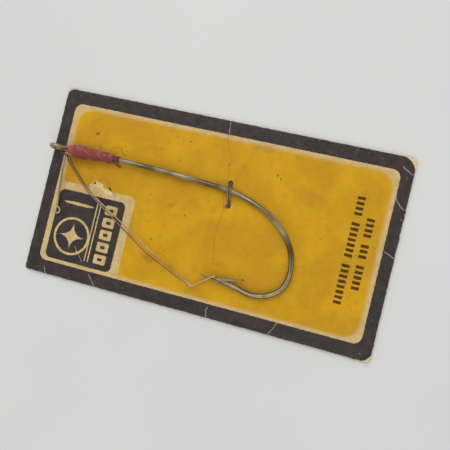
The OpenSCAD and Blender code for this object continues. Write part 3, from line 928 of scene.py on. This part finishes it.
def build_tie(material):
    """A hairpin of soft wire: both strands go over the shank and down through the two holes."""
    span = (TIE_HIGH - TIE_LOW).length
    heading = math.atan2(TIE_HIGH.y - TIE_LOW.y, TIE_HIGH.x - TIE_LOW.x)
    shank_u, shank_z = 3.7, 1.78
    wrap_r = (WIRE_D + TIE_D) / 2 + 0.03
    side, bend, turn = TIE_D / 2 + 0.01, 0.4, 0.3
    back_z = GROOVE_DEPTH - TIE_D / 2 - 0.03
    low_run, high_run, rise_angle, fall_angle = 1.9, 1.4, 27, 48

    def slope(distance, angle):
        c, s = math.cos(math.radians(angle)), math.sin(math.radians(angle))
        clear = distance - bend * (1 - s)
        top = shank_z - bend * c + (wrap_r - clear * s) / c
        return [(top - back_z - turn,), (bend, 90 - angle),
                (clear * c + (shank_z - top - bend * c) * s,)]

    rise, fall = slope(shank_u, rise_angle), slope(span - shank_u, fall_angle)
    arch = [(wrap_r, rise_angle + fall_angle)]
    legs = [(high_run,), (turn, 90, -90)] + fall + arch + rise[::-1] \
        + [(turn, 90), (low_run,), (side, 180, 90), (low_run,), (turn, 90, -90)] + rise + arch \
        + fall[::-1] + [(turn, 90), (high_run,)]
    space = Matrix.Translation((TIE_LOW.x, TIE_LOW.y, 0)) @ Matrix.Rotation(heading, 4, "Z")
    start = Matrix.Translation((span - turn - high_run, side, back_z))
    frames = moved(along(legs, [TIE_D] * (len(legs) + 1), turn=9, reach=0.3), start)
    for place, *_ in frames:
        # The strands lie closer than in the CAD at the card and spread towards the shank
        height = min(1, max(0, (place.z - CARD_T) / 1.6))
        place.y += math.copysign(0.09 * height ** 1.5 - 0.03, place.y)
    frames = moved(frames, space)
    points, faces, runs = tube(frames, 14)
    tie = make("tie_wire_strands", points, faces, material, "carded_hook", runs=runs)
    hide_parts("tie_wire")
    stub = Matrix.Translation((-0.3, 0.1, back_z)) @ Matrix.Rotation(math.radians(-90), 4, "Y")
    frames = moved(along([(CARD_T - back_z + 0.05,), (TIE_D / 2 + 0.02, -90), (0.9,)],
                         [TIE_D, TIE_D, TIE_D * 0.8, TIE_D * 0.5], turn=9), space @ stub)
    points, faces, runs = tube(frames, 14)
    make("tie_wire_end", points, faces, material, "carded_hook", runs=runs)


def build_crossings(material):
    """Turns of thread that cross over the whipping."""
    for k, (first, length, angle, turn) in enumerate((
            (4.4, 4.6, 30, 210), (7.6, 3.6, 10, 190), (9.6, 5.2, 20, 150), (10.6, 4.6, 60, 130),
            (11.4, 3.4, 0, 170), (13.0, 1.6, 10, 210), (13.9, 1.1, -10, 230))):
        path = []
        for i in range(13):
            s = first + length * i / 12
            a = math.radians(angle + turn * i / 12)
            r = profile_radius(WHIP, s) + 0.05
            path.append(on_hook((s, r * math.cos(a), r * math.sin(a))))
        strand(f"thread_crossing_{k}", path, 0.13, material)


def strand(name, path, radius, material):
    points, faces, runs = tube(curve(path, radius, 4), 8)
    make(name, points, faces, material, "carded_hook", runs=[(9, 0)] * len(runs))


def build_loose_ends(rose, maroon):
    """The finishing thread's tail, and a loop and a stub of the whipping thread."""
    for name, material, slot, radius, path in (
            ("thread_tail", maroon, "thread_dark", 0.15,
             ((-27.9, 8.75, 2.9), (-27.85, 8.2, 2.1), (-27.7, 7.75, 1.6), (-27.1, 7.3, 1.25),
              (-26.2, 7.1, 1.1))),
            ("thread_loop", rose, "thread", 0.05,
             ((-29.2, 10.0, 2.6), (-29.3, 10.9, 2.2), (-29.0, 11.6, 1.8), (-28.1, 12.0, 1.5),
              (-27.1, 11.95, 1.3), (-26.9, 11.2, 1.2), (-25.7, 10.4, 1.0))),
            ("thread_stub", rose, "thread", 0.09,
             ((-32.2, 10.5, 2.7), (-32.4, 11.1, 2.3), (-32.7, 11.8, 1.9)))):
        strand(name, [Vector(p) for p in path], radius, material)


# ---------------------------------------------------------------- the pieces
board_look, print_look = board_material(), print_material()
build_board(board_look)
build_paper(print_look)
build_flakes(print_look)
build_hook(wire_material("hook_wire", rgb(166, 154, 120), rgb(84, 74, 54), rgb(74, 50, 32), 0.46,
                         metallic=0.62))
# The guard's two ends are painted dark as shade under the eye and the whipping
build_guard(wire_material("guard_wire", rgb(214, 190, 150), rgb(150, 122, 84), rgb(104, 64, 28),
                          0.38, 0.6, 0.35, darker=55.0))
build_keeper(wire_material("keeper_wire", rgb(186, 172, 146), rgb(132, 118, 94),
                           rgb(120, 76, 46), 0.42, metallic=0.5))
# Tones: eye end, middle, far end, the pale top (fading and painted highlight), and the painted shade
# for the grooves and underside
rose = thread_material("rose_thread", (rgb(180, 56, 54), rgb(140, 56, 50), rgb(134, 56, 56),
                                       rgb(188, 122, 112), rgb(70, 24, 14)))
maroon = thread_material("maroon_thread", (rgb(104, 38, 38), rgb(104, 38, 38), rgb(102, 36, 38),
                                           rgb(132, 66, 62), rgb(48, 16, 18)))
whipping("thread_turns", WHIP, 0.3, 0.085, 0.11, rose, "thread_whipping")
whipping("finish_turns", FINISH, 0.3, 0.09, 0.06, maroon, "thread_finish")
build_crossings(rose)
build_loose_ends(rose, maroon)
build_tie(wire_material("tie_wire", rgb(134, 130, 112), rgb(76, 74, 70), rgb(92, 56, 34), 0.5, 0.55,
                        0.7))

# ---------------------------------------------------------------- floor and light
floor = make("floor", [(-900, -900, 0), (900, -900, 0), (900, 900, 0), (-900, 900, 0)],
             [[0, 1, 2, 3]], floor_material())
floor.location.z = -0.00002


def lamp(name, place, size, power, tint):
    """A round lamp, turned to the middle of the card."""
    data = bpy.data.lights.new(name, "AREA")
    data.shape, data.size, data.energy, data.color = "DISK", size, power, tint
    light = bpy.data.objects.new(name, data)
    bpy.context.scene.collection.objects.link(light)
    light.location = place
    light.rotation_euler = (-Vector(place)).to_track_quat("-Z", "Y").to_euler()


lamp("key", (-0.16, 0.4, 0.5), 0.6, 1.9, (1.0, 0.985, 0.955))
lamp("fill", (0.2, -0.44, 0.5), 0.6, 1.15, (1.0, 0.99, 0.97))
world = bpy.data.worlds.new("studio")
world.use_nodes = True
world.node_tree.nodes["Background"].inputs["Color"].default_value = (0.99, 0.985, 0.97, 1)
world.node_tree.nodes["Background"].inputs["Strength"].default_value = 0.6
bpy.context.scene.world = world
bpy.context.scene.view_settings.view_transform = "Standard"
